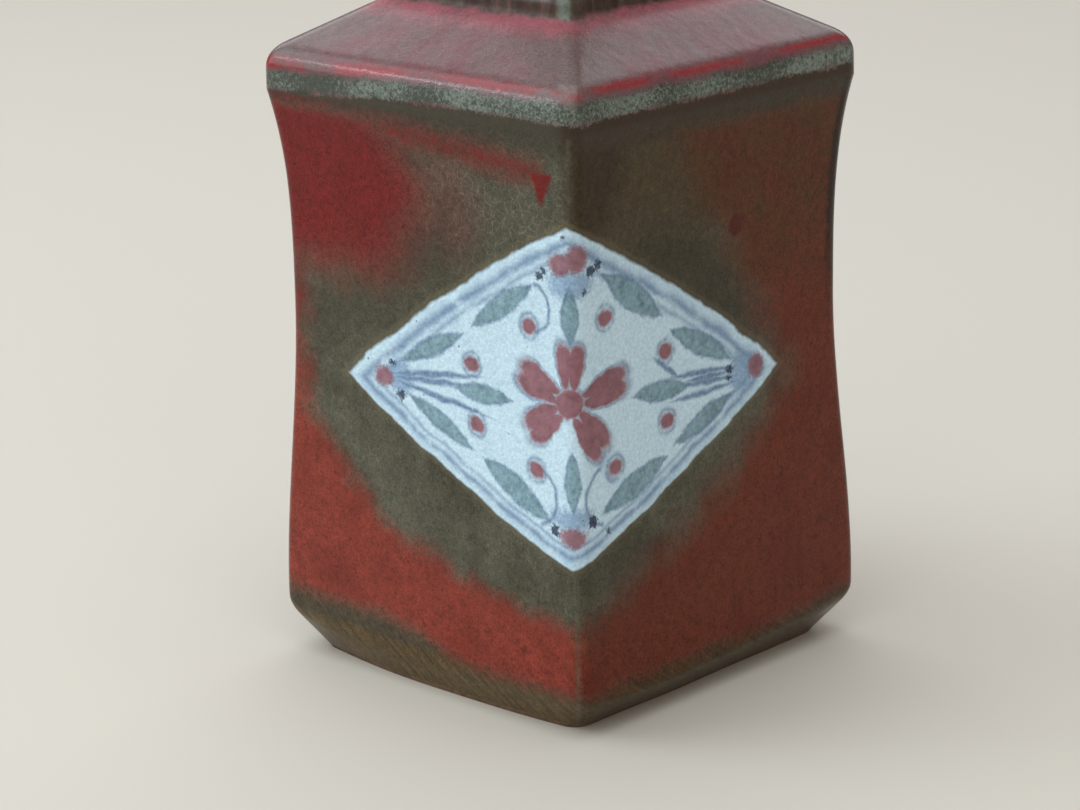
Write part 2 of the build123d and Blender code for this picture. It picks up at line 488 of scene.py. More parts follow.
# ---------------------------------------------------------------- shader arithmetic
class Field:
    """A value, vector or colour worked out by shader nodes, so that patterns read as arithmetic."""

    def __init__(self, socket):
        self.socket = socket

    def __add__(self, other):
        return calc("ADD", self, other)

    def __radd__(self, other):
        return calc("ADD", other, self)

    def __sub__(self, other):
        return calc("SUBTRACT", self, other)

    def __rsub__(self, other):
        return calc("SUBTRACT", other, self)

    def __mul__(self, other):
        return calc("MULTIPLY", self, other)

    def __truediv__(self, other):
        return calc("DIVIDE", self, other)

    def __pow__(self, other):
        return calc("POWER", self, other)


def feed(socket, value):
    """Link a field to a socket, or set the socket to a plain number or vector."""
    if isinstance(value, Field):
        socket.id_data.links.new(value.socket, socket)
    else:
        socket.default_value = value


def add_node(values, kind, **settings):
    """A new node in the tree that the first field among values belongs to."""
    tree = next(v for v in values if isinstance(v, Field)).socket.id_data
    node = tree.nodes.new("ShaderNode" + kind)
    for name, value in settings.items():
        setattr(node, name, value)
    return node


def calc(operation, *values):
    node = add_node(values, "Math", operation=operation)
    for socket, value in zip(node.inputs, values):
        feed(socket, value)
    return Field(node.outputs[0])


def vector_calc(operation, *values):
    node = add_node(values, "VectorMath", operation=operation)
    for socket, value in zip(node.inputs, values):
        feed(socket, value)
    return Field(node.outputs["Value" if operation == "DOT_PRODUCT" else "Vector"])


def size_of(value):
    return calc("ABSOLUTE", value)


def nearest(fields):
    """The least of a run of distances; each is made just before it is compared, because
    Cycles can hold only a limited number of values at once."""
    fields = iter(fields)
    result = next(fields)
    for field in fields:
        result = calc("MINIMUM", result, field)
    return result


def least(*fields):
    return nearest(fields)


def most(*fields):
    result = fields[0]
    for field in fields[1:]:
        result = calc("MAXIMUM", result, field)
    return result


def ease(field, start, end):
    """0 at start and 1 at end, smooth between; start may be above end."""
    node = add_node([field], "MapRange", interpolation_type="SMOOTHSTEP")
    falling = start > end
    for i, value in enumerate((field, *sorted((start, end)), int(falling), int(not falling))):
        feed(node.inputs[i], value)
    return Field(node.outputs[0])


def inside(distance, softness):
    """1 where a distance in mm is negative, 0 where it is positive."""
    return ease(distance, softness, -softness)


def parts_of(vector):
    node = add_node([vector], "SeparateXYZ")
    feed(node.inputs[0], vector)
    return [Field(out) for out in node.outputs]


def joined(x, y, z=0.0):
    node = add_node([x, y, z], "CombineXYZ")
    for socket, value in zip(node.inputs, (x, y, z)):
        feed(socket, value)
    return Field(node.outputs[0])


def blend(share, low, high):
    """Colour low where share is 0, high where it is 1. Colours are kept as vectors
    throughout, which saves conversions between nodes."""
    node = add_node([share, low, high], "Mix", data_type="VECTOR", clamp_factor=True)
    feed(node.inputs["Factor"], share)
    feed(node.inputs[4], low)
    feed(node.inputs[5], high)
    return Field(node.outputs[1])


def brightened(colour, factor):
    """A colour times a value."""
    node = add_node([colour, factor], "VectorMath", operation="SCALE")
    feed(node.inputs[0], colour)
    feed(node.inputs["Scale"], factor)
    return Field(node.outputs["Vector"])


def scaled(p, factors):
    node = add_node([p], "Mapping")
    feed(node.inputs["Vector"], p)
    node.inputs["Scale"].default_value = factors
    return Field(node.outputs[0])


def noise(p, per_mm, detail=2.0, roughness=0.5, stretch=None):
    """Cloudy unevenness about 0, mostly between -0.5 and 0.5."""
    if stretch:
        p = scaled(p, stretch)
    node = add_node([p], "TexNoise")
    feed(node.inputs["Vector"], p)
    node.inputs["Scale"].default_value = per_mm
    node.inputs["Detail"].default_value = detail
    node.inputs["Roughness"].default_value = roughness
    return Field(node.outputs["Fac"]) - 0.5


def speckle(p, per_mm):
    """Fine, even grain about 0, between -0.5 and 0.5."""
    return ease(noise(p, per_mm, 2, 0.6), -0.19, 0.19) - 0.5


def cells(p, per_mm, feature="DISTANCE_TO_EDGE"):
    node = add_node([p], "TexVoronoi", feature=feature)
    feed(node.inputs["Vector"], p)
    node.inputs["Scale"].default_value = per_mm
    return Field(node.outputs["Distance"])


def new_material(name):
    """A material with its Principled node and the object's place in millimetres."""
    material = bpy.data.materials.new(name)
    material.use_nodes = True
    tree = material.node_tree
    place = Field(tree.nodes.new("ShaderNodeTexCoord").outputs["Object"])
    return material, tree.nodes["Principled BSDF"], scaled(place, (1 / MM,) * 3)


def finish_material(shader, colour, roughness, height, gloss=0.5):
    """Feed a Principled node. height is relief in millimetres."""
    feed(shader.inputs["Base Color"], colour)
    feed(shader.inputs["Roughness"], roughness)
    feed(shader.inputs["Specular IOR Level"], gloss)
    bump = add_node([height], "Bump")
    bump.inputs["Distance"].default_value = MM
    feed(bump.inputs["Height"], height)
    feed(shader.inputs["Normal"], Field(bump.outputs[0]))


# ---------------------------------------------------------------- brush marks
# Each gives a distance in mm from the mark's edge, negative inside it. uv holds the two
# coordinates in mm and a 1, so that a dot product can move, turn and scale them at once.
def local(uv, place, size, turn):
    """Coordinates of a mark: 1 at its ends along each axis. turn is in degrees."""
    c, s = math.cos(math.radians(turn)), math.sin(math.radians(turn))
    rows = []
    for (a, b), reach in (((c, s), size[0]), ((-s, c), size[1])):
        row = (a / reach, b / reach, -(a * place[0] + b * place[1]) / reach)
        rows.append(vector_calc("DOT_PRODUCT", uv, row))
    return rows


def from_edge(reach, size):
    """Distance in mm from a mark's edge, where its reach is 1."""
    return calc("MULTIPLY_ADD", reach, min(size), -min(size))


def blob(uv, place, size, turn=0):
    """An oval mark."""
    along, across = local(uv, place, size, turn)
    return from_edge(calc("SQRT", calc("MULTIPLY_ADD", along, along, across * across)), size)


def leaf(uv, place, size, turn=0):
    """A mark with two pointed ends."""
    along, across = local(uv, place, size, turn)
    return from_edge(calc("MULTIPLY_ADD", along, along, size_of(across)), size)


def petal(uv, place, size, turn=0):
    """An egg-shaped mark, wider towards its far end."""
    along, across = local(uv, place, size, turn)
    across = across / calc("MULTIPLY_ADD", along, 0.34, 0.78)
    return from_edge(calc("SQRT", calc("MULTIPLY_ADD", along, along, across * across)), size)


def line(uv, start, end, width):
    """A brush line that thins out at both ends."""
    dx, dy = end[0] - start[0], end[1] - start[1]
    middle = (start[0] + dx / 2, start[1] + dy / 2)
    return leaf(uv, middle, (math.hypot(dx, dy) / 2, width / 2), math.degrees(math.atan2(dy, dx)))


def loop(uv, place, radius, width):
    """A thin ring."""
    return size_of(blob(uv, place, (radius, radius))) - width / 2


# ---------------------------------------------------------------- colours, linear
BRICK, CRIMSON = (0.225, 0.036, 0.023), (0.16, 0.01, 0.009)
DULL_RED, OXBLOOD = (0.125, 0.024, 0.009), (0.075, 0.008, 0.004)
OLIVE, OLIVE_PALE = (0.09, 0.087, 0.062), (0.12, 0.118, 0.088)
OLIVE_DARK, OLIVE_WARM, FOOT_BROWN = (0.04, 0.033, 0.02), (0.06, 0.034, 0.009), (0.1, 0.066, 0.028)
OLIVE_DEEP, FOOT_OLIVE = (0.034, 0.017, 0.006), (0.066, 0.05, 0.03)
# the second colour on the next line is painted shade for the far upright edge of the right wall
RUSSET, EDGE_SHADE = (0.082, 0.034, 0.009), (0.02, 0.01, 0.006)
EDGE_PALE, MARGIN = (0.14, 0.11, 0.1), (0.2, 0.17, 0.1)
SLIP, SLIP_BLUE = (0.58, 0.77, 0.9), (0.38, 0.56, 0.74)
WASH, WASH_DARK, INK = (0.2, 0.33, 0.52), (0.11, 0.19, 0.35), (0.018, 0.026, 0.07)
LEAF, LEAF_DARK = (0.2, 0.35, 0.42), (0.085, 0.17, 0.21)
PETAL, PETAL_DARK = (0.3, 0.12, 0.15), (0.19, 0.06, 0.075)
CLAY, CLAY_DARK = (0.2, 0.13, 0.085), (0.11, 0.07, 0.045)
MAUVE, MAUVE_GREY, ROSE = (0.16, 0.06, 0.07), (0.13, 0.1, 0.095), (0.32, 0.075, 0.1)
RIM_PALE, RIM_DARK = (0.185, 0.22, 0.19), (0.05, 0.06, 0.046)
HIP_REFLECTION, LINE_RED = (0.24, 0.2, 0.19), (0.28, 0.022, 0.03)
NECK_BROWN, NECK_GREY, NECK_RED = (0.05, 0.024, 0.02), (0.1, 0.078, 0.06), (0.19, 0.035, 0.04)
WOOD, WOOD_LATE, WOOD_FIBRE = (0.33, 0.165, 0.07), (0.17, 0.07, 0.027), (0.1, 0.042, 0.018)
WOOD_PORE, DOWEL, DOWEL_LATE = (0.045, 0.02, 0.01), (0.62, 0.46, 0.29), (0.47, 0.31, 0.17)
CORK, CORK_BROWN, CORK_FLECK = (0.5, 0.31, 0.165), (0.36, 0.2, 0.1), (0.25, 0.125, 0.06)
CORK_PIT, PAPER, ROOM = (0.075, 0.035, 0.018), (0.6, 0.56, 0.5), (0.86, 0.81, 0.75)

# ---------------------------------------------------------------- the painted diamond
# Marks are placed from the middle of the panel, along the walls and up, in mm.
PANEL_U, PANEL_Z = -1.2, 55.5
PANEL_TIP_V = -4.2          # the side tips sit a little below the middle
PANEL_SIDE, PANEL_ABOVE, PANEL_BELOW = 49.8, 31.3, 22.9
PANEL_BOW = 1.1             # 1 would be straight sides
FLOWER = (0.0, -0.6)
LEAVES = [                  # place, half length and half width, turn
    ((-14.0, 13.0), (8.2, 1.9), 34), ((-30.0, 3.4), (8.0, 1.6), 26),
    ((-28.3, -8.5), (8.0, 1.6), -24), ((-11.8, -16.2), (8.2, 2.2), -27),
    ((14.5, 14.3), (8.5, 2.3), -35), ((30.7, 3.1), (8.4, 1.9), -28),
    ((31.2, -9.2), (8.0, 1.7), 20), ((14.5, -16.0), (8.4, 2.1), 20),
    ((-18.6, -2.2), (6.4, 1.7), 0), ((21.2, -2.5), (6.8, 1.8), -5),
    ((0.4, 13.4), (4.6, 2.0), 90), ((0.4, -13.0), (4.8, 1.9), 90),
]
BERRIES = [(-8.3, 10.6), (-21.1, 2.2), (-20.3, -7.4), (-7.4, -12.3),
           (8.2, 12.0), (22.2, 3.7), (22.4, -7.7), (10.0, -12.2)]
PETALS = [                  # direction, reach of the lobes' middle, half length, spread
    (87, 5.8, 3.9, 12), (9, 7.8, 5.3, 7), (-48, 6.8, 4.9, 9), (213, 6.5, 4.4, 9), (161, 6.8, 4.7, 8),
]
BUDS = [((-1.4, 21.3), (2.3, 1.9), 0), ((2.0, 22.3), (2.6, 2.1), 15), ((-41.3, -3.3), (2.1, 1.7), 0),
        ((44.3, -3.3), (2.0, 1.9), 0), ((0.2, -21.7), (3.0, 1.6), 0)]
COLLARS = [((0.6, 18.3), (4.8, 2.5), 0), ((-37.5, -2.8), (3.0, 2.8), 0),
           ((40.4, -3.5), (3.4, 3.2), 0), ((0.2, -18.9), (4.4, 1.8), 0)]
INK_DOTS = [(-5.9, 18.9, 0.8), (-4.9, 19.9, 0.6), (5.2, 20.0, 1.0), (6.7, 20.7, 0.8), (3.5, 17.0, 0.45),
            (-39.3, -0.6, 0.6), (-37.3, -5.8, 0.9), (37.5, -2.5, 0.75), (37.4, -4.0, 0.55),
            (-3.6, -21.0, 1.0), (4.7, -19.6, 1.1), (8.2, -21.9, 0.45), (-0.9, 25.6, 0.35)]
STEMS = [((-38.0, -2.2), (-20.5, 0.2)), ((-37.5, -3.6), (-18.5, -5.6)), ((38.0, -2.3), (23.5, -0.9)),
         ((25.5, -1.4), (19.4, 3.0)), ((38.0, -3.9), (26.0, -2.9)), ((38.0, -5.0), (24.0, -4.9)),
         ((-38.0, -2.8), (-23.0, -1.6)), ((37.5, -3.0), (27.0, -2.4))]
CURLS = [((-7.8, 13.6), 3.9, 1), ((-7.6, -16.3), 4.5, 1), ((7.6, -16.2), 4.4, -1)]


def panel_edge(u, v):
    """Distance from the edge of the diamond, whose sides bow out a little."""
    across = size_of(u) / PANEL_SIDE
    height = v - PANEL_TIP_V
    tall = most(height / PANEL_ABOVE, height / -PANEL_BELOW)
    return ((across**PANEL_BOW + tall**PANEL_BOW) ** (1 / PANEL_BOW) - 1.0) * 22.0


def paint_panel(p, uv, edge):
    """Colour of the painted white panel."""
    wobble = vector_calc("ADD", uv, joined(noise(p, 0.42, 2) * 1.1, noise(p, 0.37, 2) * -1.1))
    u, _, _ = parts_of(wobble)
    cloud, grain = noise(p, 0.2, 3), speckle(p, 1.9)
    brush = noise(uv, 0.3, 2)
    streaky = noise(uv, 1.1, 3, 0.6)
    soft = 0.4

    white = blend(ease(cloud + streaky * 0.5, 0.0, 0.45) * 0.6, SLIP, SLIP_BLUE)
    border = inside(size_of(edge + 1.6) - 0.9, 0.9) * ease(brush + cloud, -0.35, 0.2)
    white = blend(border * 0.5, white, WASH)
    for inset, width, strength in ((1.7, 0.8, 0.65), (3.1, 0.5, 0.65)):
        band = inside(size_of(edge + inset + brush * 0.5) - width / 2, 0.5)
        white = blend(band * strength * ease(brush + streaky * 0.4, -0.4, 0.0), white, WASH_DARK)

    collar = nearest(blob(wobble, *mark) for mark in COLLARS) + grain * 0.4
    white = blend(inside(collar, 0.9) * (0.75 + streaky * 0.8), white, WASH)

    strokes = nearest(line(wobble, *ends, 0.95) for ends in STEMS)
    curls = nearest(most(loop(wobble, place, radius, 0.4), (u - place[0] - 0.8 * side) * -side)
                    for place, radius, side in CURLS)
    rings = nearest(loop(wobble, place, 1.95, 0.6) for place in BERRIES)
    colour = blend(inside(least(strokes, curls) - 0.08, 0.4) * (0.85 + streaky * 0.8), white, WASH_DARK)
    colour = blend(inside(rings, 0.5) * 0.75 * ease(brush + streaky, -0.35, 0.05), colour, WASH_DARK)

    leaves = nearest(leaf(wobble, *mark) for mark in LEAVES) + grain * 0.12
    green = blend(ease(noise(p, 0.5, 3) + streaky * 0.5, -0.25, 0.35), LEAF, LEAF_DARK)
    green = blend(ease(leaves + streaky * 0.5, -0.75, 0.0) * 0.75, green, WASH_DARK)
    colour = blend(inside(leaves, soft) * (0.86 + streaky * 0.5), colour, green)

    flower = blob(wobble, FLOWER, (3.1, 2.5), 15)
    for direction, reach, length, spread_by in PETALS:
        for turn in (direction - spread_by, direction + spread_by):
            a = math.radians(turn)
            place = (FLOWER[0] + math.cos(a) * reach, FLOWER[1] + math.sin(a) * reach)
            tilt = direction + (turn - direction) * 0.4
            flower = least(flower, petal(wobble, place, (length, 2.15), tilt))
    outlined = inside(size_of(flower - 0.25) - 0.2, 0.4) * 0.8 * ease(cloud, -0.3, 0.1)
    colour = blend(outlined, colour, WASH_DARK)
    berries = nearest(blob(wobble, place, (1.6, 1.35)) for place in BERRIES)
    buds = nearest(blob(wobble, *mark) for mark in BUDS)
    red = blend(ease(noise(p, 0.6, 3) + grain * 0.25, -0.2, 0.3), PETAL, PETAL_DARK)
    colour = blend(inside(least(flower, berries) + grain * 0.12, soft) * 0.95, colour, red)
    colour = blend(inside(buds + grain * 0.3, 0.6) * 0.9, colour, red)

    dots = nearest(blob(wobble, (du, dv), (r, r * 0.9)) for du, dv, r in INK_DOTS) + grain * 0.5
    colour = blend(inside(dots, 0.3) * 0.9, colour, INK)
    specks = inside(cells(uv, 0.16, "F1") * 6.0 - 0.2, 0.06)
    colour = blend(specks * 0.7, colour, INK)
    return brightened(colour, 1.0 + grain * 0.18 + streaky * 0.15)


# ---------------------------------------------------------------- the glaze
# s is the distance along the walls from a painted corner, below 0 on the front and back walls.
# The back and left walls repeat the front and right ones, without the drip and the spot.
PATCHES = {                 # soft regions: place as (s, z), half sizes, turn, softness
    "crimson": ((-56.0, 83.5), (24.0, 14.5), -5, 6.0),
    "blush": ((-28.0, 84.0), (7.0, 9.0), 15, 5.0),
    "pale_above": ((-16.0, 85.0), (16.0, 8.5), 0, 6.0),
    "pale_below": ((-38.0, 33.0), (15.0, 7.0), -32, 6.0),
    "dark_left": ((-41.0, 68.0), (20.0, 5.0), 28, 5.0),
    "dark_right": ((28.0, 69.0), (17.0, 6.5), -33, 3.0),
    "crackled": ((-17.0, 84.0), (17.0, 13.0), 0, 7.0),
}
LEFT_HALO, RIGHT_HALO, HALO_HEIGHT = 61.0, 53.0, 34.5
RIM_Z, FOOT_Z, STREAK_Z = 94.0, 7.4, 91.0
DRIP_S, DRIP_TIP_Z = -6.4, 85.6
SPOT_S, SPOT_Z, SPOT_RADIUS = 38.2, 76.4, 1.9
BAND_Z, ROSE_Z, NECK_LINE_Z = 100.5, 110.9, 111.4


def body_glaze():
    """Walls and foot: copper red that goes olive around the panel, at the rim and at the foot."""
    material, shader, p = new_material("body_glaze")
    x, y, z = parts_of(p)
    facing = calc("SIGN", x - y)
    s = (x + y) * facing
    u, v = s - PANEL_U, z - PANEL_Z
    uv = joined(u, v, 1.0)
    drift, cloud = noise(p, 0.045, 2), noise(p, 0.15, 3)
    mottle, grain = noise(p, 0.7, 4, 0.7), speckle(p, 1.2) * 0.6 + speckle(p, 2.8)
    warp = drift * 5.0 + cloud * 7.0 + mottle * 2.5
    right = ease(u, -3.0, 4.0)

    def patch(name):
        """One of the soft-edged regions of the glaze."""
        place, size, turn, softness = PATCHES[name]
        mark = blob(uv, (place[0] - PANEL_U, place[1] - PANEL_Z), size, turn)
        return inside(mark + warp, softness)

    # where the glaze is olive: around the panel, under the rim and along the foot
    low = least(v + 2.0, 0.0)
    left_halo = (((u / LEFT_HALO) ** 2.0 + (low / HALO_HEIGHT) ** 2.0) ** 0.5 - 1.0) * 38.0
    right_low = ((size_of(u) / RIGHT_HALO) ** 1.2 + (low / -HALO_HEIGHT) ** 1.2 - 1.0) * 25.0
    right_halo = most(right_low, (u + most(v + 3.0, 0.0) * 0.62 - 49.0) * 0.8)
    halo = left_halo + (right_halo - left_halo) * right
    olive = inside((halo + warp - right * 1.5) * (1.0 - right * 0.4), 3.0)
    crimson = patch("crimson")
    olive = olive * (1.0 - crimson)
    rim = inside(RIM_Z - z - (s + 20.0) * 0.035 * ease(s, -20.0, -40.0) + cloud * 3.0 + mottle * 1.5, 1.6)
    beside_corner = inside(size_of(s - 4.0) + (95.0 - z) * 0.4 - 9.0 + warp, 4.0)
    rim = most(rim, beside_corner * ease(z, 78.0, 84.0) * right)
    foot_rise = ease(s, -22.0, -46.0) * 4.2 + ease(s, 50.0, 64.0) * 1.5
    foot = inside(z - FOOT_Z - foot_rise + cloud * 3.0 + mottle * 2.0, 2.2)
    olive = most(olive, rim, foot)

    # red over the olive: a streak under the rim, the drip at its end, and a faint blush
    to_drip = ease(s, -36.0, -8.0)
    streak = inside(size_of(z - STREAK_Z + (s + 8.0) * 0.075 + cloud * 3.0) - 1.9, 2.6)
    streak = streak * ease(s, -4.5, -7.5) * (0.7 + to_drip * 0.1 + mottle * 1.4 + drift)
    drip = most(z - STREAK_Z, size_of(s - DRIP_S) - (z - DRIP_TIP_Z) * 0.46) + mottle * 0.9
    drip = inside(drip, 0.5) * ease(facing, 0.0, 0.5)
    blush = patch("blush") * 0.3
    red = most(1.0 - olive, streak, drip, blush)

    # the reds, darker and browner on the right wall, with one small dark spot there
    reds = blend(ease(z + drift * 30.0, 48.0, 76.0), BRICK, CRIMSON)
    reds = blend(right * 0.9, reds, DULL_RED)
    reds = blend(ease(cloud + mottle * 0.6, -0.1, 0.4) * 0.5, reds, OXBLOOD)
    reds = blend(right * ease(z + drift * 20.0, 66.0, 90.0) * 0.65, reds, OXBLOOD)
    reds = blend(right * ease(z, 56.0, 76.0) * (0.55 + cloud * 1.6), reds, RUSSET)
    spot = blob(uv, (SPOT_S - PANEL_U, SPOT_Z - PANEL_Z), (SPOT_RADIUS, SPOT_RADIUS))
    spot = inside(spot + mottle, 0.5) * ease(facing, 0.0, 0.5)
    reds = blend(spot * 0.85, reds, OXBLOOD)

    # the olives, darkest under the rim, with brown brush streaks at the foot and painted shade on the
    # foot of the right wall
    green = blend(ease(cloud + drift, -0.2, 0.25) * 0.6, OLIVE, OLIVE_DARK)
    green = blend(patch("pale_above") * 0.1, green, OLIVE_PALE)
    green = blend(patch("pale_below") * 0.35, green, OLIVE_PALE)
    green = blend(patch("dark_left") * 0.55, green, OLIVE_DARK)
    green = blend(right * ease(z, 62.0, 88.0) * 0.75, green, OLIVE_WARM)
    green = blend(patch("dark_right") * 0.75, green, OLIVE_DARK)
    deep = blend(most(right, ease(s, -40.0, -66.0)) * 0.7, OLIVE_DARK, OLIVE_DEEP)
    green = blend(most(rim * 0.9, ease(z, 94.0, 96.6)), green, deep)
    # painted shade: on the right wall the foot is darkened towards OLIVE_DEEP
    green = blend(foot * 0.85, green, blend(right * 0.7, FOOT_OLIVE, OLIVE_DEEP))
    green = blend(foot * ease(z + mottle, 8.6, 6.8), green, blend(right * 0.45, FOOT_BROWN, OLIVE_DEEP))
    streaks = noise(joined(s + z * 1.3, z - s * 0.25), 1.0, 3, stretch=(0.9, 0.12, 1.0))
    green = brightened(green, 1.0 + streaks * ease(z, 14.0, 6.0) * 1.8)
    colour = blend(most(red, spot), green, reds)

    # painted shade along the far upright edge of the right wall, and the rim's pale glaze turning down
    # onto it
    corner = size_of(x - y) + mottle
    upper = ease(z + cloud * 12.0, 52.0, 76.0) * right
    colour = blend(inside(corner - 3.8, 0.7) * upper * 0.9, colour, EDGE_SHADE)
    turned_down = ease(corner, 2.6, 1.6) * ease(z + mottle * 4.0, 84.0, 93.0) * right
    colour = blend(turned_down * 0.8, colour, EDGE_PALE)

    # fine crackle above the panel, its pale lines partly a painted highlight, the pale upright corner
    # with a painted highlight along it, and the grain
    column = patch("crackled")
    # crackle lines, drawn paler as a painted highlight where they catch the light
    crack = inside(cells(p, 0.55) - 0.03, 0.03) * (column * 0.8 + 0.3 + mottle)
    colour = brightened(colour, 1.0 + crack * 0.5 * (1.0 - red))
    # pale glaze down the upright corner, with a painted highlight along it
    ridge = inside(size_of(s + 0.6) - 0.4, 0.9)
    colour = blend(ridge * 0.6 * ease(cloud, -0.35, 0.15), colour, OLIVE_PALE)
    colour = brightened(colour, 1.0 + mottle * (1.0 + red * 0.4) + grain * 0.34)

    edge = panel_edge(u, v) + noise(p, 0.14, 2) * 1.4 + noise(p, 0.6, 1) * 0.4
    panel = inside(edge, 0.28)
    margin = inside(size_of(edge - 0.5) - 0.25, 0.45)
    colour = blend(margin * 0.3, colour, MARGIN)
    colour = blend(panel, colour, paint_panel(p, uv, edge))

    bare = ease(z + mottle * 0.5 + cloud * 0.4, 0.95, 0.75)
    clay = brightened(blend(ease(mottle, -0.2, 0.3), CLAY, CLAY_DARK), 1.0 + grain * 0.3)
    colour = blend(bare, colour, clay)

    roughness = 0.16 + mottle * 0.06 + panel * 0.15
    roughness = roughness * (1.0 - bare) + bare * 0.85
    height = noise(p, 0.4, 2) * 0.06 + mottle * 0.04 + grain * 0.01 - crack * 0.02
    painted = inside(edge, 0.9) * 0.14
    height = height + painted + panel * noise(p, 1.1, 3, 0.6) * 0.2 + bare * grain * 0.05
    finish_material(shader, colour, roughness, height, gloss=0.18 + ease(z, 93.0, 97.0) * 0.12)
    return material


def top_glaze():
    """Shoulder, neck and mouth: mauve red slopes, a pale broken edge, a streaked brown neck."""
    material, shader, p = new_material("top_glaze")
    x, y, z = parts_of(p)
    to_hip = size_of(size_of(x) - size_of(y))
    drift, cloud = noise(p, 0.06, 2), noise(p, 0.2, 3)
    mottle, grain = noise(p, 0.7, 4, 0.7), speckle(p, 1.2) * 0.6 + speckle(p, 2.8)

    # the slope of the shoulder
    slope = blend(ease(cloud + drift, -0.2, 0.3) * 0.6, MAUVE, MAUVE_GREY)
    slope = blend(ease(to_hip + drift * 20.0, 16.0, 3.0) * 0.7, slope, MAUVE_GREY)
    # painted reflection: a paler grey along the hips
    slope = blend(ease(to_hip + cloud * 3.0, 2.6, 0.4) * 0.25, slope, HIP_REFLECTION)
    rose = inside(size_of(z - ROSE_Z + cloud * 2.5) - 1.1, 1.4) * ease(mottle + drift, -0.3, 0.1)
    slope = blend(rose * 0.8, slope, ROSE)

    # the pale band lies lower towards the left end of the front wall; a red line runs above it
    s = (x + y) * calc("SIGN", x - y)
    dip = ease(s, -25.0, -66.0) * 1.6
    above = z - BAND_Z + dip
    line_red = inside(size_of(above - 2.9 + cloud * 1.4 + mottle * 0.6) - dip * 0.4 - 0.45, 0.6)
    slope = blend(line_red * ease(drift + cloud * 0.7, -0.16, 0.1) * 0.9, slope, LINE_RED)

    # the neck
    streaks = noise(p, 1.0, 4, 0.6, stretch=(0.6, 0.6, 0.08))
    neck = blend(ease(streaks, -0.25, 0.3), NECK_BROWN, NECK_GREY)
    neck = blend(ease(streaks + drift, 0.1, 0.4) * 0.6, neck, NECK_RED)
    ridge = ease(to_hip + mottle * 2.0, 2.2, 0.6) * ease(z + cloud * 2.0, 110.5, 112.0)
    neck = blend(ridge * 0.85, neck, RIM_PALE)
    colour = blend(ease(z + cloud * 2.4 + mottle * 1.4, NECK_LINE_Z, NECK_LINE_Z + 0.8), slope, neck)
    colour = brightened(colour, 1.0 + mottle * 0.6)

    # the pale broken glaze along the rim and the lip
    strokes = noise(p, 1.5, 4, 0.8)
    paleness = ease(strokes + grain * 0.07 + drift * 0.6 + dip * -0.06, -0.12, 0.16)
    pale = blend(paleness, RIM_DARK, RIM_PALE)
    band = least(size_of(above) - 1.5, LIP_TOP - 2.4 - z) + cloud * 2.2 + strokes * 3.2
    colour = blend(inside(band, 0.5), colour, pale)
    below = ease(above + cloud * 2.2 + strokes * 2.6, -1.2, -1.8)
    colour = blend(below, colour, blend(ease(s, -10.0, 10.0), OLIVE_DARK, OLIVE_DEEP))
    colour = brightened(colour, 1.0 + grain * 0.24)

    height = noise(p, 0.3, 1) * 0.06 + mottle * 0.02 + grain * 0.006 + inside(band, 1.0) * strokes * 0.12
    fillet = ease(z, 109.8, 111.2) * ease(z, 115.0, 113.4)
    rough = 0.19 + mottle * 0.08 + fillet * 0.2 - inside(band, 1.5) * ease(z, 140.0, 120.0) * 0.1
    finish_material(shader, colour, rough, height, gloss=0.34 - fillet * 0.2)
    return material


def turned_wood():
    """Oiled wood with its rings about a line beside the knob's own axis."""
    material, shader, p = new_material("turned_wood")
    x, y, z = parts_of(p)
    drift = noise(p, 0.12, 2, stretch=(1.0, 1.0, 0.3))
    fibre = noise(p, 1.6, 3, 0.65, stretch=(1.0, 1.0, 0.07))
    pores = cells(scaled(p, (1.0, 1.0, 0.09)), 2.3, "F1")
    across = calc("SQRT", (x + 7.0) ** 2.0 + (y - 3.5) ** 2.0) + drift * 5.0 + z * 0.04
    late = calc("SINE", across * 3.3) * 0.5 + 0.5
    colour = blend(late**2.4 * 0.75, WOOD, WOOD_LATE)
    colour = blend(ease(fibre, -0.1, 0.3) * 0.45, colour, WOOD_FIBRE)
    pore = ease(pores + fibre * 0.3, 0.16, 0.06)
    colour = blend(pore * 0.6, colour, WOOD_PORE)
    # painted shade: the wood is darker where the knob's side is cut in, in its groove
    groove_shade = ease(calc("SQRT", x**2.0 + y**2.0), 13.6, 11.4) * ease(z, KNOB_TOP - 4.5, KNOB_TOP - 6.0)
    colour = brightened(colour, (1.0 + drift * 0.9) * (1.0 - groove_shade * 0.25))
    tool_marks = noise(p, 2.2, 1, stretch=(0.03, 0.03, 1.0))
    height = fibre * 0.02 - pore * 0.03 + late * 0.012 + tool_marks * 0.03
    finish_material(shader, colour, 0.34 + fibre * 0.25 + pore * 0.25, height, gloss=0.45)
    return material


def cork_bark():
    """Cork: a fine grain of pale cells, dark pits that lie across it, and soft brown flecks."""
    material, shader, p = new_material("cork_bark")
    cloud, mottle = noise(p, 0.25, 3), noise(p, 1.1, 4, 0.7)
    grain = cells(p, 2.6, "F1")
    flecks = noise(p, 0.9, 3, 0.6, stretch=(1.0, 0.35, 1.0))
    pits = noise(p, 0.55, 3, 0.7, stretch=(0.55, 0.55, 1.7))
    pit = ease(pits, 0.105, 0.15)
    colour = blend(ease(cloud + mottle, -0.3, 0.3), CORK, CORK_BROWN)
    colour = blend(ease(flecks, 0.02, 0.16) * 0.55, colour, CORK_FLECK)
    colour = blend(pit * 0.85, colour, CORK_PIT)
    colour = brightened(colour, 0.86 + grain * 0.5 + mottle * 0.5)
    height = mottle * 0.12 + grain * 0.08 - pit * 0.4
    finish_material(shader, colour, 0.78 + mottle * 0.2, height, gloss=0.25)
    return material


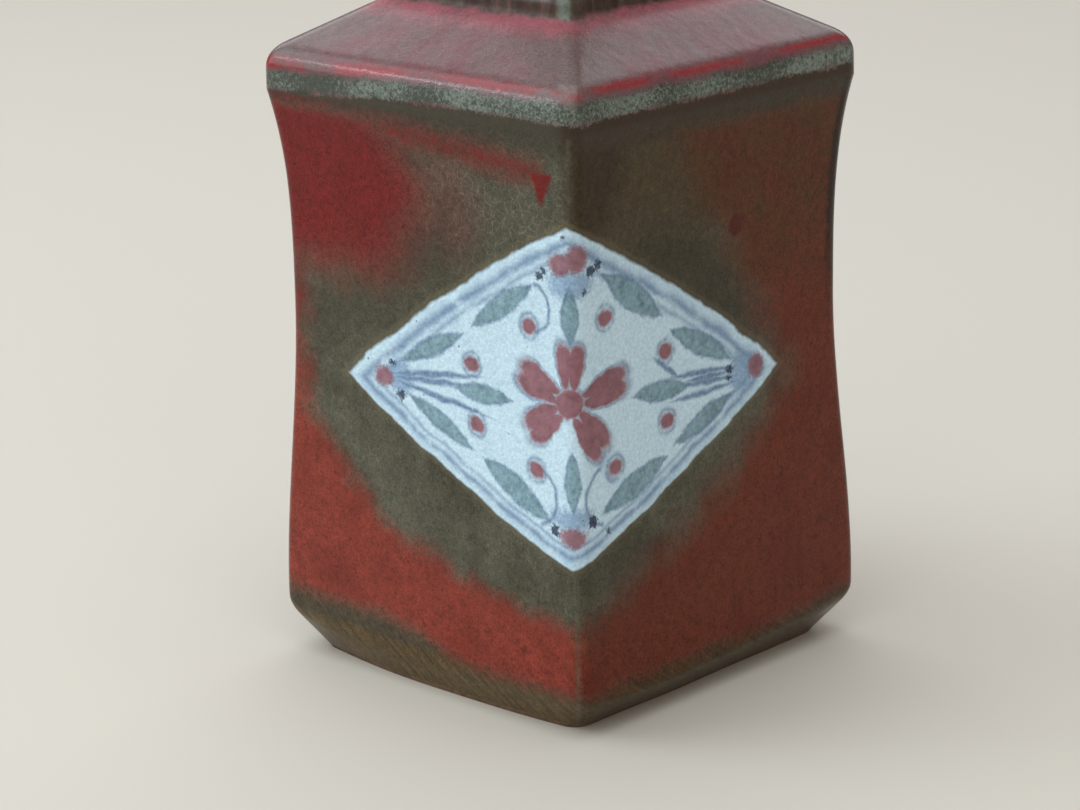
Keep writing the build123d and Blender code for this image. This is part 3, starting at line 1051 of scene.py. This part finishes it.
def dowel_wood():
    """A pale straight-grained dowel."""
    material, shader, p = new_material("dowel_wood")
    fibre = noise(p, 1.8, 3, 0.6, stretch=(1.0, 1.0, 0.05))
    rings = calc("SINE", parts_of(p)[0] * 4.0 + noise(p, 0.2, 2) * 6.0)
    colour = blend(ease(rings, -0.4, 1.0) * 0.6, DOWEL, DOWEL_LATE)
    colour = brightened(colour, 1.0 + fibre * 1.2)
    finish_material(shader, colour, 0.6 + fibre * 0.3, fibre * 0.05)
    return material


def plain(name, colour, roughness):
    material = bpy.data.materials.new(name)
    material.use_nodes = True
    shader = material.node_tree.nodes["Principled BSDF"]
    shader.inputs["Base Color"].default_value = (*colour, 1)
    shader.inputs["Roughness"].default_value = roughness
    return material


body, top = body_glaze(), top_glaze()
materials = {"wall": body, "foot": body, "shoulder": top, "neck": top}
make_bottle(materials)
make_stopper({"cork": cork_bark(), "knob": turned_wood(), "pin": dowel_wood()})

# ---------------------------------------------------------------- floor, light and camera
FLOOR_HALF = 3.0
floor_mesh = bpy.data.meshes.new("floor")
floor_corners = [(x * FLOOR_HALF, y * FLOOR_HALF, 0) for x, y in ((-1, -1), (1, -1), (1, 1), (-1, 1))]
floor_mesh.from_pydata(floor_corners, [], [(0, 1, 2, 3)])
floor = bpy.data.objects.new("floor", floor_mesh)
bpy.context.scene.collection.objects.link(floor)
floor_mesh.materials.append(plain("floor_paper", PAPER, 0.8))


def area_light(name, place, aim_height, size, power, colour):
    """A soft rectangular lamp that points at the object's own axis, at a height above the floor."""
    light = bpy.data.lights.new(name, "AREA")
    light.shape = "RECTANGLE"
    light.size, light.size_y = size
    light.energy = power
    light.color = colour
    lamp = bpy.data.objects.new(name, light)
    lamp.location = place
    aim = Vector((0, 0, aim_height)) - Vector(place)
    lamp.rotation_euler = aim.to_track_quat("-Z", "Y").to_euler()
    bpy.context.scene.collection.objects.link(lamp)


LIGHTS = [                  # name, place, height it points at, size, watts, colour
    ("window", (-0.84, -0.74, 0.63), 0.06, (1.0, 1.0), 7, (0.84, 0.95, 1)),
    ("overhead", (-0.05, -0.15, 1.2), 0.06, (1.5, 1.5), 12, (0.9, 0.97, 1)),
    ("front", (0.35, -1.2, 0.7), 0.06, (1.0, 0.8), 3, (0.97, 0.97, 0.95)),
    ("fill", (0.9, -0.5, 0.7), 0.06, (0.8, 0.8), 2.6, (1, 0.94, 0.85)),
    ("back", (-0.85, 0.85, 1.0), 0.1, (2.3, 0.7), 9, (0.97, 0.97, 1)),
    ("lamp", (-0.87, -0.77, 0.6), 0.1, (0.09, 0.05), 0.7, (1, 1, 1)),
]
for light_facts in LIGHTS:
    area_light(*light_facts)

bpy.context.scene.view_settings.view_transform = "Standard"

world = bpy.data.worlds.new("room")
bpy.context.scene.world = world
world.use_nodes = True
background = world.node_tree.nodes["Background"]
background.inputs["Color"].default_value = (*ROOM, 1)
background.inputs["Strength"].default_value = 0.25

EYE = Vector((0.3498, -0.3696, 0.1915))
AIM = Vector((-0.6656, 0.6908, -0.2823)).normalized()
ROLL = math.radians(-1.3)
FOCAL_LENGTH, SENSOR_WIDTH = 104.9, 36
camera_data = bpy.data.cameras.new("camera")
camera_data.sensor_width = SENSOR_WIDTH
camera_data.lens = FOCAL_LENGTH
camera = bpy.data.objects.new("camera", camera_data)
bpy.context.scene.collection.objects.link(camera)
bpy.context.scene.camera = camera
level = AIM.cross(Vector((0, 0, 1))).normalized()
upright = level.cross(AIM)
right = level * math.cos(ROLL) + upright * math.sin(ROLL)
turn = Matrix((right, right.cross(AIM), -AIM)).transposed().to_4x4()
camera.matrix_world = Matrix.Translation(EYE) @ turn
